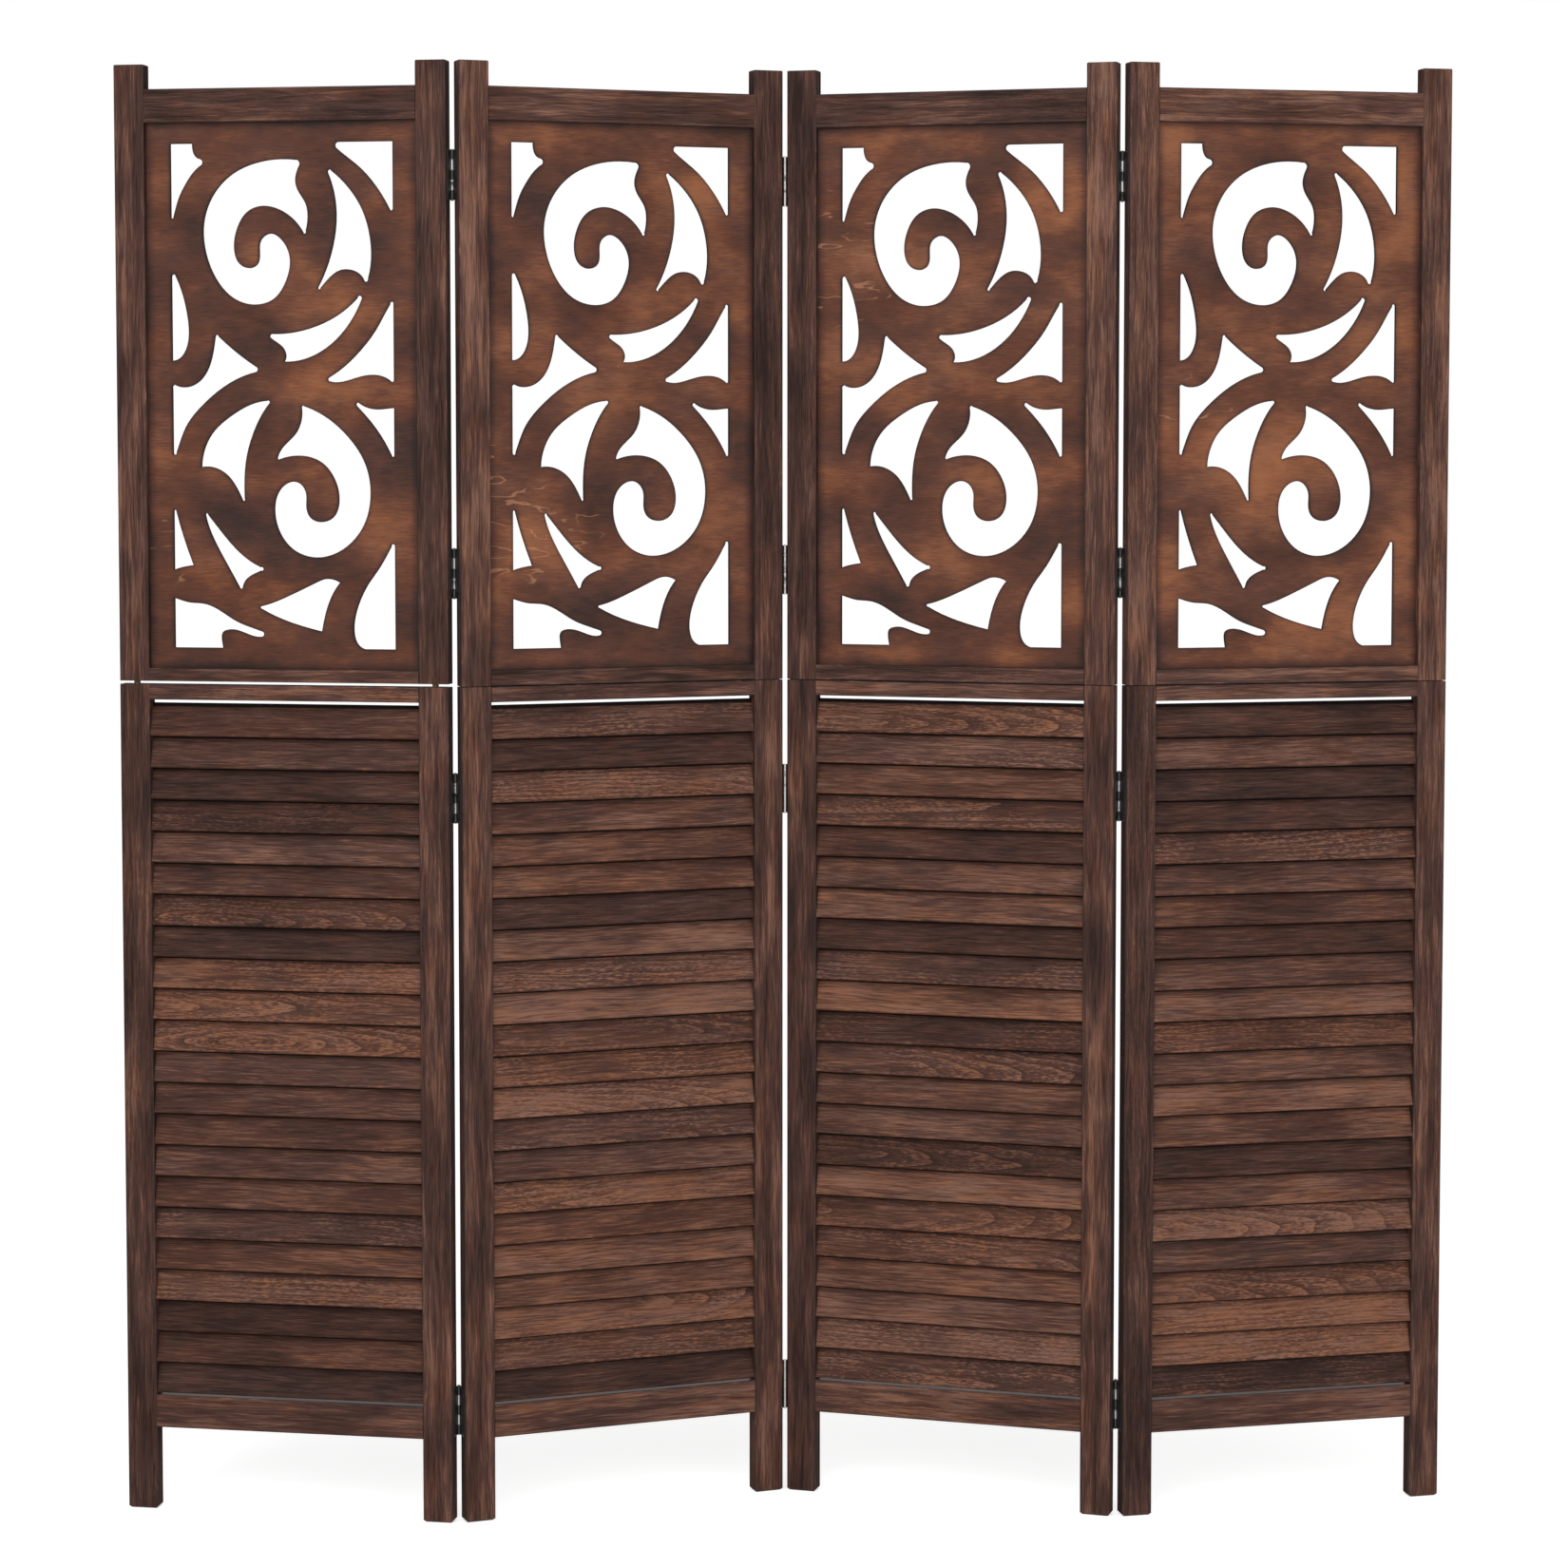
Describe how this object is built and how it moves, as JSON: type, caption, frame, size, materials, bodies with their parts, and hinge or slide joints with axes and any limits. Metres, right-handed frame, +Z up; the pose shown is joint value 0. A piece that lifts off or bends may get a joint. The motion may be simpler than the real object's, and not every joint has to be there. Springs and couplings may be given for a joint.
{
  "type": "folding screen",
  "caption": "Free-standing folding screen of hinged wooden panels, each with a scroll-cut plywood upper part, a louvred lower part and stile feet.",
  "frame": {"origin": "middle of the open screen's footprint, on the floor", "axes": "+Z up, +X from the left panel to the right one, +Y from the front to the back"},
  "size_m": [1.562, 0.1618, 1.7],
  "materials": {
    "frame_wood": "dark stained and scorched",
    "slat_wood": "dark stained and scorched",
    "plywood": "dark stained satin",
    "peg_wood": "bare",
    "hinge_metal": "black satin"
  },
  "bodies": {
    "panel_1": {"hinge_line_1_leaves_on_panel_1": "hinge_metal", "hinge_line_1_pins": "hinge_metal", "panel_1_foot_rail": "frame_wood", "panel_1_fretwork": "plywood", "panel_1_head_rail": "frame_wood", "panel_1_hinge_screws": "hinge_metal", "panel_1_louvre_head_rail": "frame_wood", "panel_1_louvre_slats": "slat_wood", "panel_1_lower_left_stile": "frame_wood", "panel_1_lower_right_stile": "frame_wood", "panel_1_pegs": "peg_wood", "panel_1_sill_rail": "frame_wood", "panel_1_upper_left_stile": "frame_wood", "panel_1_upper_right_stile": "frame_wood"},
    "panel_2": {"hinge_line_1_leaves_on_panel_2": "hinge_metal", "hinge_line_2_leaves_on_panel_2": "hinge_metal", "hinge_line_2_pins": "hinge_metal", "panel_2_foot_rail": "frame_wood", "panel_2_fretwork": "plywood", "panel_2_head_rail": "frame_wood", "panel_2_hinge_screws": "hinge_metal", "panel_2_louvre_head_rail": "frame_wood", "panel_2_louvre_slats": "slat_wood", "panel_2_lower_left_stile": "frame_wood", "panel_2_lower_right_stile": "frame_wood", "panel_2_pegs": "peg_wood", "panel_2_sill_rail": "frame_wood", "panel_2_upper_left_stile": "frame_wood", "panel_2_upper_right_stile": "frame_wood"},
    "panel_3": {"hinge_line_2_leaves_on_panel_3": "hinge_metal", "hinge_line_3_leaves_on_panel_3": "hinge_metal", "hinge_line_3_pins": "hinge_metal", "panel_3_foot_rail": "frame_wood", "panel_3_fretwork": "plywood", "panel_3_head_rail": "frame_wood", "panel_3_hinge_screws": "hinge_metal", "panel_3_louvre_head_rail": "frame_wood", "panel_3_louvre_slats": "slat_wood", "panel_3_lower_left_stile": "frame_wood", "panel_3_lower_right_stile": "frame_wood", "panel_3_pegs": "peg_wood", "panel_3_sill_rail": "frame_wood", "panel_3_upper_left_stile": "frame_wood", "panel_3_upper_right_stile": "frame_wood"},
    "panel_4": {"hinge_line_3_leaves_on_panel_4": "hinge_metal", "panel_4_foot_rail": "frame_wood", "panel_4_fretwork": "plywood", "panel_4_head_rail": "frame_wood", "panel_4_hinge_screws": "hinge_metal", "panel_4_louvre_head_rail": "frame_wood", "panel_4_louvre_slats": "slat_wood", "panel_4_lower_left_stile": "frame_wood", "panel_4_lower_right_stile": "frame_wood", "panel_4_pegs": "peg_wood", "panel_4_sill_rail": "frame_wood", "panel_4_upper_left_stile": "frame_wood", "panel_4_upper_right_stile": "frame_wood"}
  },
  "joints": [
    {"name": "hinge_line_1", "type": "hinge", "parent": "panel_1", "child": "panel_2", "pos_m": [-0.38462, -0.06027, 0], "axis": [0, 0, 1], "range_deg": [-30.8, 149.2]},
    {"name": "hinge_line_2", "type": "hinge", "parent": "panel_2", "child": "panel_3", "pos_m": [-0.00199, 0.06122, 0], "axis": [0, 0, -1], "range_deg": [-37.8, 142.2]},
    {"name": "hinge_line_3", "type": "hinge", "parent": "panel_3", "child": "panel_4", "pos_m": [0.38819, -0.03328, 0], "axis": [0, 0, 1], "range_deg": [-30.2, 149.8]}
  ]
}
